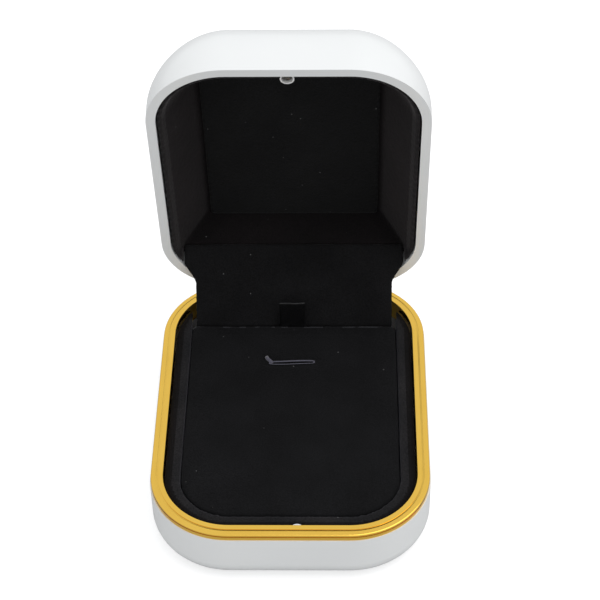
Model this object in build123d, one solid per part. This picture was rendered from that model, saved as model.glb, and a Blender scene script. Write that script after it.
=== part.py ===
from build123d import *
import math
import os

# A hinged presentation box for a pendant, lying on its flat underside with the lid open.
# Millimetres. The origin is the centre of the underside, the front is -Y and up is +Z.
# The lid is modelled closed and then swung open about the hinge pin.

# Outline shared by the base, the trim and the lid
BOX_WIDTH = 70.0
BOX_DEPTH = 90.0
CORNER_RADIUS = 20.2

# Base shell and trim
BASE_HEIGHT = 17.0
TRIM_BAND = 2.1
SHELL_PROUD = 0.25
SHELL_WALL = 2.2
SHELL_FLOOR = 2.0
SHELL_EDGE = 5.5
TRIM_WIDTH = 3.15
TRIM_INNER_TIER = 1.3
TRIM_GROOVE = 0.5
TRIM_GROOVE_DEPTH = 0.28
TRIM_FALL = 0.32
TRIM_EDGE = 0.35
TRIM_INNER_EDGE = 0.08
TRIM_SIDE_GROOVE = 0.35
TRIM_SIDE_GROOVE_DEPTH = 0.25
TRIM_SIDE_GROOVE_DROP = 0.75
TRIM_SKIRT = 0.9
TRIM_SKIRT_DEPTH = 5.8
SEAT_GAP = 0.05

# Tray round the pad
TRAY_GAP = 0.2
TRAY_BAND = 4.1
TRAY_DROP = 1.5
TRAY_ROUND = 1.0
TRAY_SHEET = 1.2
TRAY_BACK_DROP = 4.0

# Pendant pad
PAD_GAP = 0.3
PAD_BACK_INSET = 15.6
PAD_DROP = 1.8
PAD_BACK_CORNER = 0.9
PAD_EDGE = 0.6
BOARD_THICKNESS = 1.6
VELVET_THICKNESS = 0.7
SLIT_LENGTH = 13.6
SLIT_WIDTH = 1.0
SLIT_DEPTH = 6.0
SLIT_X = -0.7
SLIT_Y = 15.9
RIBBON_WIDTH = 6.9
RIBBON_THICKNESS = 0.5
RIBBON_RISE = 8.8
RIBBON_TUCK = 6.0
RIBBON_X = -0.4

# Hinge
OPEN_ANGLE = 78.0
PIVOT_INSET = 1.3
PIVOT_RISE = 3.6
LID_GAP = 0.3
HINGE_LENGTH = 30.0
KNUCKLE_COUNT = 5
KNUCKLE_GAP = 0.3
KNUCKLE_RADIUS = 1.3
PIN_RADIUS = 0.6
PIN_CLEARANCE = 0.05
PIN_HEAD_RADIUS = 0.9
PIN_HEAD_LENGTH = 0.5
LEAF_THICKNESS = 0.8
LEAF_HOLE_MARGIN = 1.0
LEAF_GAP = 0.45
BASE_LEAF_DROP = 16.0
BASE_LEAF_SHOULDER = 4.6
LID_LEAF_SHARE = 0.24
SPRING_THICKNESS = 0.4
SPRING_BACK_HEIGHT = 3.0
SPRING_SEAT_DROP = 10.6
SPRING_GAP = 0.35
SCREW_X = 10.0
SCREW_RADIUS = 0.7
SCREW_HEAD_RADIUS = 1.4
SCREW_HEAD_HEIGHT = 0.6
SCREW_CLEARANCE = 0.05
SCREW_GRIP = 2.2
BOSS_RADIUS = 2.0
BASE_SCREW_DROP = 12.6
LID_SCREW_RISE = 3.8

# Flap over the hinge
FLAP_INSET = 8.5
FLAP_SHOULDER_INSET = 5.7
FLAP_FOLD_INSET = 7.0
FLAP_STRAIGHT_RISE = 9.5
FLAP_SHOULDER_RISE = 15.0
FLAP_THICKNESS = 0.8
FLAP_BEND = 3.0
FLAP_GAP = 0.5

# Lid shell
LID_HEIGHT = 24.5
LID_WALL = 2.4
LID_TOP = 1.8
LID_STRAIGHT = 4.0
LID_SHOULDER = 17.0
LID_FULLNESS = 0.44
NOTCH_MARGIN = 0.8
NOTCH_GAP = 0.3

# Lid lining
LINING_GAP = 0.1
LINING_SHEET = 1.1
LINING_RECESS = 0.4
LINING_HEADROOM = 9.5
LINING_LEAN = 7.9
LINING_CORNER = 3.0
LINING_BACK_INSET = 14.7
LINING_FOLD_HEIGHT = 4.2
LINING_WING_HEIGHT = 6.0
LINING_WING_LAP = 0.5
PANEL_THICKNESS = 1.2
PANEL_GAP = 0.8

# Lamp in the lid's front lip and the magnet below it
LAMP_X = 0.0
LAMP_RADIUS = 1.35
LAMP_LENGTH = 5.0
LAMP_RECESS = 0.8
LAMP_FIT = 0.03
BEZEL_WALL = 0.35
BEZEL_LENGTH = 4.0
BEZEL_GAP = 0.1
MAGNET_X = 2.0
MAGNET_RADIUS = 1.7
MAGNET_LENGTH = 1.6
MAGNET_PROUD = 0.9
MAGNET_EDGE = 0.5
MAGNET_TOP_GAP = 0.35

# Lamp circuit between the lining and the lid's top
HOLDER_WIDTH = 18.0
HOLDER_DEPTH = 15.0
HOLDER_WALL = 0.9
HOLDER_FLOOR = 0.6
HOLDER_RIM = 2.4
HOLDER_Y = -12.0
PCB_THICKNESS = 0.8
PCB_GAP = 0.15
CELL_RADIUS = 6.25
CELL_HEIGHT = 2.0
CLIP_THICKNESS = 0.35
CLIP_WIDTH = 4.0
LEAD_RADIUS = 0.3
LEAD_SPACING = 1.3
LEAD_BEND = 1.6
LEAD_DRIFT = 0.5
LEAD_FIRST_RUN = 3.6
LEAD_CORNER_GAP = 1.8
LEAD_LANDING = 3.4

# Heights and places that follow from the sizes above
SHELL_TOP = BASE_HEIGHT - TRIM_BAND
PIVOT_Y = BOX_DEPTH / 2 - PIVOT_INSET
PIVOT_Z = BASE_HEIGHT + PIVOT_RISE
LID_RIM = BASE_HEIGHT + LID_GAP
TRAY_TOP = BASE_HEIGHT - TRAY_DROP
TRAY_INSET = TRIM_WIDTH + TRAY_GAP
POCKET_INSET = TRIM_WIDTH + TRAY_BAND
PAD_INSET = POCKET_INSET + PAD_GAP
PAD_TOP = BASE_HEIGHT - PAD_DROP
PAD_BACK_Y = BOX_DEPTH / 2 - PAD_BACK_INSET
FLAP_FRONT_Y = PAD_BACK_Y + PAD_GAP
TRAY_BACK_Y = FLAP_FRONT_Y + FLAP_THICKNESS
LEAF_FRONT_Y = BOX_DEPTH / 2 - TRIM_WIDTH - LEAF_GAP - LEAF_THICKNESS
LAMP_Y = -(BOX_DEPTH / 2 - LID_WALL - BEZEL_GAP - BEZEL_WALL - LAMP_FIT - LAMP_RADIUS)
LINING_DEPTH = LID_HEIGHT - LINING_HEADROOM
LINING_BACK_Y = BOX_DEPTH / 2 - LINING_BACK_INSET
LINING_TOP = LID_RIM + LINING_DEPTH + LINING_SHEET
PCB_TOP = LINING_TOP + HOLDER_FLOOR + PCB_THICKNESS

os.makedirs("parts", exist_ok=True)


def save(shape, name):
    export_step(shape, f"parts/{name}.step")


def outline(inset):
    return RectangleRounded(BOX_WIDTH - 2 * inset, BOX_DEPTH - 2 * inset, CORNER_RADIUS - inset)


def slab(inset, bottom, top):
    return Pos(0, 0, bottom) * extrude(outline(inset), amount=top - bottom)


def block(x_range, y_range, z_range):
    size = [high - low for low, high in (x_range, y_range, z_range)]
    centre = [(high + low) / 2 for low, high in (x_range, y_range, z_range)]
    return Pos(*centre) * Box(*size)


def rod_x(radius, x_low, x_high, y, z):
    return Pos((x_low + x_high) / 2, y, z) * Rot(0, 90, 0) * Cylinder(radius, x_high - x_low)


def rod_y(radius, x, y_low, y_high, z):
    return Pos(x, (y_low + y_high) / 2, z) * Rot(90, 0, 0) * Cylinder(radius, y_high - y_low)


def rod_z(radius, x, y, z_low, z_high):
    return Pos(x, y, (z_low + z_high) / 2) * Cylinder(radius, z_high - z_low)


def swing_open(shape):
    """Turns a lid piece from closed to open about the hinge pin."""
    return Pos(0, PIVOT_Y, PIVOT_Z) * Rot(-OPEN_ANGLE, 0, 0) * Pos(0, -PIVOT_Y, -PIVOT_Z) * shape


def knuckle_spans(first):
    """X ranges of every second knuckle, from the first one given."""
    length = (HINGE_LENGTH - (KNUCKLE_COUNT - 1) * KNUCKLE_GAP) / KNUCKLE_COUNT
    starts = [-HINGE_LENGTH / 2 + i * (length + KNUCKLE_GAP) for i in range(first, KNUCKLE_COUNT, 2)]
    return [(start, start + length) for start in starts]


def wrap(section, inset, bottom):
    """Carries a section round the outline: section X is the distance in from the wall, Y is height.

    The section ends at the corner's own centre, so each corner is a quarter turn and each side is
    a straight run, and a core fills the middle.
    """
    radius = CORNER_RADIUS - inset
    half_x = BOX_WIDTH / 2 - CORNER_RADIUS
    half_y = BOX_DEPTH / 2 - CORNER_RADIUS
    height = section.bounding_box().max.Y
    low = section.bounding_box().min.Y
    upright = Rot(90, 0, 0) * Pos(-radius, 0) * section
    corner = revolve(upright, Axis.Z, 90)
    solid = block((-half_x, half_x), (-half_y, half_y), (low, height))
    for turn, x, y, run in (
        (0, -half_x, -half_y, 2 * half_x),
        (90, half_x, -half_y, 2 * half_y),
        (180, half_x, half_y, 2 * half_x),
        (270, -half_x, half_y, 2 * half_y),
    ):
        side = extrude(Rot(0, 0, 90) * upright, dir=(1, 0, 0), amount=run)
        solid += Pos(x, y) * Rot(0, 0, turn) * (corner + side)
    return Pos(0, 0, bottom) * solid


def domed_section(radius, height, straight, shoulder):
    """Section of the lid: a straight wall that rounds over into a soft, flat-topped dome."""
    rise = height - straight
    wall_end = (0, straight)
    wall_handle = (0, straight + rise * LID_FULLNESS)
    top_handle = (shoulder * (1 - LID_FULLNESS), height)
    top_start = (shoulder, height)
    edges = [
        Line((0, 0), wall_end),
        Bezier(wall_end, wall_handle, top_handle, top_start),
        Line(top_start, (radius, height)),
        Line((radius, height), (radius, 0)),
        Line((radius, 0), (0, 0)),
    ]
    return make_face(edges)


def leaning_section(radius, height, lean, corner):
    """Section of the lining: a wall leaning inwards and a rounded corner under a flat top."""
    edges = Polyline((0, 0), (lean, height), (radius, height), (radius, 0), close=True)
    face = make_face(edges)
    top = face.vertices().filter_by(lambda v: abs(v.X - lean) < SEAT_GAP and v.Y > SEAT_GAP)
    return fillet(top, corner)


def base_shell():
    outer = slab(-SHELL_PROUD, 0, SHELL_TOP)
    outer = fillet(outer.edges().group_by(Axis.Z)[0], SHELL_EDGE)
    inner = slab(SHELL_WALL, SHELL_FLOOR, SHELL_TOP)
    inner = fillet(inner.edges().group_by(Axis.Z)[0], SHELL_EDGE - SHELL_WALL)
    shell = outer - inner
    wall = BOX_DEPTH / 2 - SHELL_WALL / 2
    screw_z = PIVOT_Z - BASE_SCREW_DROP
    for x in (-SCREW_X, SCREW_X):
        shell += rod_y(BOSS_RADIUS, x, LEAF_FRONT_Y + LEAF_THICKNESS, wall, screw_z)
    for x in (-SCREW_X, SCREW_X):
        tip = LEAF_FRONT_Y + LEAF_THICKNESS + SCREW_GRIP
        shell -= rod_y(SCREW_RADIUS + SCREW_CLEARANCE, x, LEAF_FRONT_Y, tip, screw_z)
    return shell


def outside(edge, inset):
    """Whether an edge of the trim lies outside the outline drawn at this inset."""
    middle = edge.position_at(0.5)
    corner_x = BOX_WIDTH / 2 - CORNER_RADIUS
    corner_y = BOX_DEPTH / 2 - CORNER_RADIUS
    across = max(abs(middle.X) - corner_x, 0)
    along = max(abs(middle.Y) - corner_y, 0)
    return math.hypot(across, along) > CORNER_RADIUS - inset


def trim_ring():
    inner_edge = TRIM_WIDTH
    shoulder = BASE_HEIGHT - TRIM_FALL
    roof = loft([Pos(0, 0, shoulder) * outline(0), Pos(0, 0, BASE_HEIGHT) * outline(TRIM_WIDTH)], ruled=True)
    band = slab(0, SHELL_TOP, shoulder) + roof - slab(inner_edge, SHELL_TOP, BASE_HEIGHT)
    outer_edges = band.edges().filter_by(lambda e: abs(e.position_at(0.5).Z - shoulder) < TRIM_FALL / 9)
    band = fillet(outer_edges.filter_by(lambda e: outside(e, TRIM_EDGE)), TRIM_EDGE)
    groove_out = TRIM_WIDTH - TRIM_INNER_TIER - TRIM_GROOVE
    groove_bottom = BASE_HEIGHT - TRIM_GROOVE_DEPTH
    groove = slab(groove_out, groove_bottom, BASE_HEIGHT)
    groove -= slab(groove_out + TRIM_GROOVE, groove_bottom, BASE_HEIGHT)
    band -= groove
    band = fillet(band.edges().group_by(Axis.Z)[-1], TRIM_INNER_EDGE)
    side_top = BASE_HEIGHT - TRIM_SIDE_GROOVE_DROP
    side_bottom = side_top - TRIM_SIDE_GROOVE
    band -= slab(0, side_bottom, side_top) - slab(TRIM_SIDE_GROOVE_DEPTH, side_bottom, side_top)
    skirt_out = TRIM_WIDTH - TRIM_SKIRT
    skirt_bottom = BASE_HEIGHT - TRIM_SKIRT_DEPTH
    skirt = slab(skirt_out, skirt_bottom, SHELL_TOP) - slab(TRIM_WIDTH, skirt_bottom, SHELL_TOP)
    ring = band + skirt
    front = -(BOX_DEPTH / 2 - TRIM_WIDTH)
    nose = front + MAGNET_PROUD
    seat = MAGNET_RADIUS + SEAT_GAP
    ring -= rod_y(seat, MAGNET_X, nose - MAGNET_LENGTH - SEAT_GAP, nose, magnet_z())
    return ring


def magnet_z():
    return BASE_HEIGHT - MAGNET_TOP_GAP - MAGNET_RADIUS


def magnet():
    front = -(BOX_DEPTH / 2 - TRIM_WIDTH)
    nose = front + MAGNET_PROUD
    body = rod_y(MAGNET_RADIUS, MAGNET_X, nose - MAGNET_LENGTH, nose, magnet_z())
    return fillet(body.edges().group_by(Axis.Y)[-1], MAGNET_EDGE)


def pocket(inset, bottom, top, back_y, back_corner):
    """The pad's plan: round at the front, nearly square at the back."""
    solid = slab(inset, bottom, top)
    half = BOX_WIDTH / 2 - inset
    solid -= block((-BOX_WIDTH, BOX_WIDTH), (0, BOX_DEPTH), (bottom, top))
    rear = block((-half, half), (0, back_y), (bottom, top))
    if back_corner:
        rear = fillet(rear.edges().filter_by(Axis.Z).group_by(Axis.Y)[-1], back_corner)
    return solid + rear


def base_tray():
    rim_bottom = TRAY_TOP - TRAY_SHEET
    body = slab(TRAY_INSET, rim_bottom, TRAY_TOP)
    body = fillet(body.edges().group_by(Axis.Z)[-1], TRAY_ROUND)
    wall_inset = POCKET_INSET - TRAY_SHEET
    rear_wall = TRAY_BACK_Y + TRAY_SHEET
    walls = pocket(wall_inset, SHELL_FLOOR, TRAY_TOP, rear_wall, 0)
    body += walls & slab(SHELL_EDGE, SHELL_FLOOR, TRAY_TOP)
    hollow = pocket(POCKET_INSET, SHELL_FLOOR, TRAY_TOP, TRAY_BACK_Y, 0)
    body -= hollow
    bay_half = BOX_WIDTH / 2 - POCKET_INSET
    back_top = TRAY_TOP - TRAY_BACK_DROP
    body -= block((-bay_half, bay_half), (TRAY_BACK_Y, BOX_DEPTH / 2), (back_top, TRAY_TOP))
    front = -(BOX_DEPTH / 2 - TRAY_INSET)
    body -= rod_y(MAGNET_RADIUS + TRAY_GAP, MAGNET_X, front, front + MAGNET_RADIUS, magnet_z())
    return body


def slit_cut(widen):
    x_range = (SLIT_X - SLIT_LENGTH / 2 - widen, SLIT_X + SLIT_LENGTH / 2 + widen)
    y_range = (SLIT_Y - SLIT_WIDTH / 2 - widen, SLIT_Y + SLIT_WIDTH / 2 + widen)
    return block(x_range, y_range, (PAD_TOP - SLIT_DEPTH, PAD_TOP))


def pad_board():
    inset = PAD_INSET + VELVET_THICKNESS
    back = PAD_BACK_Y - VELVET_THICKNESS
    return pocket(inset, SHELL_FLOOR, SHELL_FLOOR + BOARD_THICKNESS, back, PAD_BACK_CORNER)


def pad_foam():
    inset = PAD_INSET + VELVET_THICKNESS
    back = PAD_BACK_Y - VELVET_THICKNESS
    bottom = SHELL_FLOOR + BOARD_THICKNESS
    foam = pocket(inset, bottom, PAD_TOP - VELVET_THICKNESS, back, PAD_BACK_CORNER)
    return foam - slit_cut(0)


def pad_velvet():
    outer = pocket(PAD_INSET, SHELL_FLOOR, PAD_TOP, PAD_BACK_Y, PAD_BACK_CORNER)
    outer = fillet(outer.edges().group_by(Axis.Z)[-1], PAD_EDGE)
    inset = PAD_INSET + VELVET_THICKNESS
    back = PAD_BACK_Y - VELVET_THICKNESS
    core = pocket(inset, SHELL_FLOOR, PAD_TOP - VELVET_THICKNESS, back, PAD_BACK_CORNER)
    velvet = outer - core - slit_cut(0)
    return velvet - ribbon_slot()


def ribbon_slot():
    half = RIBBON_WIDTH / 2
    x_range = (RIBBON_X - half, RIBBON_X + half)
    y_range = (PAD_BACK_Y - RIBBON_THICKNESS, PAD_BACK_Y + RIBBON_THICKNESS)
    return block(x_range, y_range, (PAD_TOP - RIBBON_TUCK, PAD_TOP))


def lift_ribbon():
    half = RIBBON_WIDTH / 2
    x_range = (RIBBON_X - half, RIBBON_X + half)
    y_range = (PAD_BACK_Y - RIBBON_THICKNESS, PAD_BACK_Y)
    return block(x_range, y_range, (PAD_TOP - RIBBON_TUCK, PAD_TOP + RIBBON_RISE))


def leaf_knuckles(spans):
    """Tubes round the pin, one for each x range, before the leaf's plate is joined to them."""
    tubes = [rod_x(KNUCKLE_RADIUS, low, high, PIVOT_Y, PIVOT_Z) for low, high in spans]
    solid = tubes[0]
    for tube in tubes[1:]:
        solid += tube
    return solid


def pin_bore():
    return rod_x(PIN_RADIUS + PIN_CLEARANCE, -HINGE_LENGTH, HINGE_LENGTH, PIVOT_Y, PIVOT_Z)


def leaf_holes(z):
    """The pair of screw holes through one leaf."""
    radius = SCREW_RADIUS + SCREW_CLEARANCE
    front_y = LEAF_FRONT_Y - LEAF_HOLE_MARGIN
    back_y = LEAF_FRONT_Y + LEAF_THICKNESS + LEAF_HOLE_MARGIN
    return rod_y(radius, -SCREW_X, front_y, back_y, z) + rod_y(radius, SCREW_X, front_y, back_y, z)


def hinge_base_leaf():
    spans = knuckle_spans(0)
    leaf = leaf_knuckles(spans)
    web_bottom = PIVOT_Z - KNUCKLE_RADIUS
    web_top = web_bottom + LEAF_THICKNESS
    leaf_back_y = LEAF_FRONT_Y + LEAF_THICKNESS
    shoulder = PIVOT_Z - BASE_LEAF_SHOULDER
    for low, high in spans:
        leaf += block((low, high), (LEAF_FRONT_Y, PIVOT_Y), (web_bottom, web_top))
        leaf += block((low, high), (LEAF_FRONT_Y, leaf_back_y), (shoulder, web_top))
    half = HINGE_LENGTH / 2
    bottom = PIVOT_Z - BASE_LEAF_DROP
    leaf += block((-half, half), (LEAF_FRONT_Y, leaf_back_y), (bottom, shoulder))
    leaf -= leaf_holes(PIVOT_Z - BASE_SCREW_DROP)
    return leaf - pin_bore()


def hinge_lid_leaf():
    spans = knuckle_spans(1)
    leaf = leaf_knuckles(spans)
    web_top = PIVOT_Z + KNUCKLE_RADIUS
    web_bottom = web_top - LEAF_THICKNESS
    leaf_back_y = LEAF_FRONT_Y + LEAF_THICKNESS
    for low, high in spans:
        leaf += block((low, high), (LEAF_FRONT_Y, PIVOT_Y), (web_bottom, web_top))
    half = HINGE_LENGTH / 2
    leaf_top = PIVOT_Z + LID_HEIGHT * LID_LEAF_SHARE
    leaf += block((-half, half), (LEAF_FRONT_Y, leaf_back_y), (web_bottom, leaf_top))
    leaf -= leaf_holes(PIVOT_Z + LID_SCREW_RISE)
    return swing_open(leaf - pin_bore())


def hinge_pin():
    half = HINGE_LENGTH / 2
    pin = rod_x(PIN_RADIUS, -half, half, PIVOT_Y, PIVOT_Z)
    for low in (-half - PIN_HEAD_LENGTH, half):
        pin += rod_x(PIN_HEAD_RADIUS, low, low + PIN_HEAD_LENGTH, PIVOT_Y, PIVOT_Z)
    return pin


def snap_spring():
    """Blade on the base leaf whose two fingers bear on the lid leaf's knuckles."""
    back_y = LEAF_FRONT_Y
    front_y = back_y - SPRING_THICKNESS
    seat_bottom = PIVOT_Z - SPRING_SEAT_DROP
    spans = knuckle_spans(1)
    seat_top = seat_bottom + SPRING_BACK_HEIGHT
    spring = block((spans[0][0], spans[-1][1]), (front_y, back_y), (seat_bottom, seat_top))
    finger_top = PIVOT_Z - SPRING_GAP
    tip_y = PIVOT_Y - KNUCKLE_RADIUS - SPRING_GAP
    for low, high in spans:
        x_range = (low + KNUCKLE_GAP, high - KNUCKLE_GAP)
        spring += block(x_range, (front_y, back_y), (seat_bottom, finger_top))
        spring += block(x_range, (front_y, tip_y), (finger_top - SPRING_THICKNESS, finger_top))
    return spring


def screws(z):
    """The pair of screws that hold one leaf, heads towards the front."""
    pair = []
    for x in (-SCREW_X, SCREW_X):
        head = rod_y(SCREW_HEAD_RADIUS, x, LEAF_FRONT_Y - SCREW_HEAD_HEIGHT, LEAF_FRONT_Y, z)
        tip = LEAF_FRONT_Y + LEAF_THICKNESS + SCREW_GRIP - SEAT_GAP
        pair.append(head + rod_y(SCREW_RADIUS, x, LEAF_FRONT_Y, tip, z))
    return pair


def opened(y, z):
    """Place in Y and Z, with the lid open, of a point given with the lid closed."""
    turn = math.radians(-OPEN_ANGLE)
    across, up = y - PIVOT_Y, z - PIVOT_Z
    open_y = PIVOT_Y + across * math.cos(turn) - up * math.sin(turn)
    open_z = PIVOT_Z + across * math.sin(turn) + up * math.cos(turn)
    return open_y, open_z


def flap_outline():
    """Front view of the flap: straight in the base, widening where it passes the lid's rim."""
    bottom = SHELL_FLOOR
    top = opened(LINING_BACK_Y, LID_RIM + LINING_FOLD_HEIGHT)[1]
    half = BOX_WIDTH / 2
    levels = [
        (half - FLAP_INSET, bottom),
        (half - FLAP_INSET, PAD_TOP + FLAP_STRAIGHT_RISE),
        (half - FLAP_SHOULDER_INSET, PAD_TOP + FLAP_SHOULDER_RISE),
        (half - FLAP_FOLD_INSET, top),
    ]
    mirrored = [(-x, z) for x, z in reversed(levels)]
    return make_face(Polyline(*levels, *mirrored, close=True))


def hinge_flap():
    """Velvet flap from the bay behind the pad, over the open hinge, to the lid's back lining."""
    middle_y = FLAP_FRONT_Y + FLAP_THICKNESS / 2
    end = opened(LINING_BACK_Y, LID_RIM + LINING_FOLD_HEIGHT - FLAP_GAP)
    points = [(middle_y, SHELL_FLOOR), (middle_y, PAD_TOP - PAD_GAP), end]
    path = FilletPolyline(*points, radius=FLAP_BEND)
    band = make_face(path.offset_2d(FLAP_THICKNESS / 2, kind=Kind.INTERSECTION, side=Side.BOTH))
    sheet = extrude(Plane.YZ.offset(-BOX_WIDTH / 2) * band, amount=BOX_WIDTH, dir=(1, 0, 0))
    front = extrude(Plane.XZ * flap_outline(), amount=BOX_DEPTH, both=True)
    return sheet & front


def lid_shell():
    outer = wrap(domed_section(CORNER_RADIUS, LID_HEIGHT, LID_STRAIGHT, LID_SHOULDER), 0, LID_RIM)
    inner_radius = CORNER_RADIUS - LID_WALL
    inner_shoulder = LID_SHOULDER - LID_WALL
    inner_section = domed_section(inner_radius, LID_HEIGHT - LID_TOP, LID_STRAIGHT, inner_shoulder)
    shell = outer - wrap(inner_section, LID_WALL, LID_RIM)
    half = HINGE_LENGTH / 2 + NOTCH_MARGIN
    notch_top = PIVOT_Z + KNUCKLE_RADIUS + NOTCH_GAP
    screw_z = PIVOT_Z + LID_SCREW_RISE
    back_y = LEAF_FRONT_Y + LEAF_THICKNESS
    for x in (-SCREW_X, SCREW_X):
        shell += rod_y(BOSS_RADIUS, x, back_y, BOX_DEPTH / 2 - LID_WALL / 2, screw_z)
    shell -= block((-half, half), (LEAF_FRONT_Y, BOX_DEPTH), (0, notch_top))
    for x in (-SCREW_X, SCREW_X):
        hole = SCREW_RADIUS + SCREW_CLEARANCE
        shell -= rod_y(hole, x, LEAF_FRONT_Y, back_y + SCREW_GRIP, screw_z)
    return swing_open(shell)


def lining_block(inset, height, lean, corner, back_y):
    """Solid with the lining's plan: round at the front, square at the back, all its sides leaning."""
    bottom = LID_RIM + LINING_RECESS
    solid = wrap(leaning_section(CORNER_RADIUS - inset, height, lean, corner), inset, bottom)
    solid -= block((-BOX_WIDTH, BOX_WIDTH), (0, BOX_DEPTH), (0, LID_RIM + LID_HEIGHT))
    half = BOX_WIDTH / 2 - inset
    corners = [(-half, 0), (lean - half, height), (half - lean, height), (half, 0)]
    arch = make_face(Polyline(*corners, close=True))
    arch = fillet(arch.vertices().group_by(Axis.Y)[-1], corner)
    solid += Pos(0, 0, bottom) * extrude(Plane.XZ * arch, amount=-back_y)
    return solid & slab(inset, bottom, bottom + height)


def lid_lining():
    inset = LID_WALL + LINING_GAP
    height = LINING_DEPTH - LINING_RECESS
    back_y = LINING_BACK_Y + LINING_SHEET
    outer = lining_block(inset, height + LINING_SHEET, LINING_LEAN, LINING_CORNER, back_y)
    inner_corner = LINING_CORNER - LINING_SHEET
    inner = lining_block(inset + LINING_SHEET, height, LINING_LEAN, inner_corner, LINING_BACK_Y)
    lining = outer - inner
    fold = LID_RIM + LINING_FOLD_HEIGHT
    lining -= block((-BOX_WIDTH, BOX_WIDTH), (LINING_BACK_Y, BOX_DEPTH), (LID_RIM, fold))
    lining -= rod_z(bezel_radius() + BEZEL_GAP, LAMP_X, LAMP_Y, LID_RIM, LID_RIM + LINING_DEPTH / 2)
    return swing_open(lining + lining_wings(inset))


def lining_wings(inset):
    """Covered blocks that carry the lining round the lid's rear corners, beside and behind the flap."""
    bottom = LID_RIM + LINING_RECESS
    top = bottom + LINING_WING_HEIGHT
    beside = BOX_WIDTH / 2 - FLAP_SHOULDER_INSET + FLAP_GAP
    behind = BOX_WIDTH / 2 - FLAP_FOLD_INSET - LINING_WING_LAP
    shelf = LID_RIM + LINING_FOLD_HEIGHT + FLAP_GAP
    wings = Part()
    for side in (-1, 1):
        for inner, low in ((beside, bottom), (behind, shelf)):
            x_range = sorted((side * inner, side * BOX_WIDTH / 2))
            wings += slab(inset, low, top) & block(x_range, (LINING_BACK_Y, BOX_DEPTH / 2), (low, top))
    return wings


def lid_panel():
    inset = LID_WALL + LINING_GAP + LINING_SHEET + LINING_LEAN + PANEL_GAP
    top = LID_RIM + LINING_DEPTH
    back_y = LINING_BACK_Y - PAD_GAP
    return swing_open(pocket(inset, top - PANEL_THICKNESS, top, back_y, PAD_BACK_CORNER))


def bezel_radius():
    return LAMP_RADIUS + LAMP_FIT + BEZEL_WALL


def lamp_bezel():
    bottom = LID_RIM + LAMP_RECESS
    tube = rod_z(bezel_radius(), LAMP_X, LAMP_Y, bottom, bottom + BEZEL_LENGTH)
    bore = rod_z(LAMP_RADIUS + LAMP_FIT, LAMP_X, LAMP_Y, bottom, bottom + BEZEL_LENGTH)
    return swing_open(tube - bore)


def lamp():
    bottom = LID_RIM + LAMP_RECESS + LAMP_FIT
    dome = Pos(LAMP_X, LAMP_Y, bottom + LAMP_RADIUS) * Sphere(LAMP_RADIUS)
    body = rod_z(LAMP_RADIUS, LAMP_X, LAMP_Y, bottom + LAMP_RADIUS, bottom + LAMP_LENGTH)
    return swing_open(dome + body)


def lamp_holder():
    half_x = HOLDER_WIDTH / 2
    half_y = HOLDER_DEPTH / 2
    y_range = (HOLDER_Y - half_y, HOLDER_Y + half_y)
    outer = block((-half_x, half_x), y_range, (LINING_TOP, LINING_TOP + HOLDER_RIM))
    inner_y = (y_range[0] + HOLDER_WALL, y_range[1] - HOLDER_WALL)
    inner_x = (-half_x + HOLDER_WALL, half_x - HOLDER_WALL)
    top = LINING_TOP + HOLDER_RIM
    outer -= block(inner_x, inner_y, (LINING_TOP + HOLDER_FLOOR, top))
    slot = LEAD_SPACING / 2 + 2 * LEAD_RADIUS
    return swing_open(outer - block((-slot, slot), (y_range[0], inner_y[0]), (PCB_TOP, top)))


def lamp_board():
    half_x = HOLDER_WIDTH / 2 - HOLDER_WALL - PCB_GAP
    half_y = HOLDER_DEPTH / 2 - HOLDER_WALL - PCB_GAP
    y_range = (HOLDER_Y - half_y, HOLDER_Y + half_y)
    return swing_open(block((-half_x, half_x), y_range, (PCB_TOP - PCB_THICKNESS, PCB_TOP)))


def button_cell():
    return swing_open(rod_z(CELL_RADIUS, 0, HOLDER_Y, PCB_TOP, PCB_TOP + CELL_HEIGHT))


def cell_clip():
    """Sprung strap over the cell, standing on the board at both ends."""
    reach = CELL_RADIUS + PCB_GAP + CLIP_THICKNESS
    half = CLIP_WIDTH / 2
    y_range = (HOLDER_Y - half, HOLDER_Y + half)
    top = PCB_TOP + CELL_HEIGHT + CLIP_THICKNESS
    strap = block((-reach, reach), y_range, (PCB_TOP, top))
    inner = reach - CLIP_THICKNESS
    strap -= block((-inner, inner), y_range, (PCB_TOP, top - CLIP_THICKNESS))
    return swing_open(strap)


def lamp_leads():
    """The lamp's two leads, up behind the lining's front wall and over its top to the board."""
    start_z = LID_RIM + LAMP_RECESS + LAMP_FIT + LAMP_LENGTH
    corner_y = LINING_LEAN + LID_WALL - BOX_DEPTH / 2
    board_y = HOLDER_Y - HOLDER_DEPTH / 2 + HOLDER_WALL + PCB_GAP
    lead_z = PCB_TOP + LEAD_RADIUS
    pair = []
    for x in (LAMP_X - LEAD_SPACING / 2, LAMP_X + LEAD_SPACING / 2):
        route = [
            (x, LAMP_Y, start_z),
            (x, LAMP_Y + LEAD_DRIFT, start_z + LEAD_FIRST_RUN),
            (x, corner_y - LEAD_CORNER_GAP, LINING_TOP - LEAD_CORNER_GAP / 2),
            (x, corner_y + LEAD_LANDING, lead_z),
            (x, board_y, lead_z),
        ]
        path = FilletPolyline(*route, radius=LEAD_BEND)
        along = Vector(0, LEAD_DRIFT, LEAD_FIRST_RUN)
        section = Plane(origin=route[0], z_dir=along) * Circle(LEAD_RADIUS)
        pair.append(swing_open(sweep(section, path=path)))
    return pair


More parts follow.
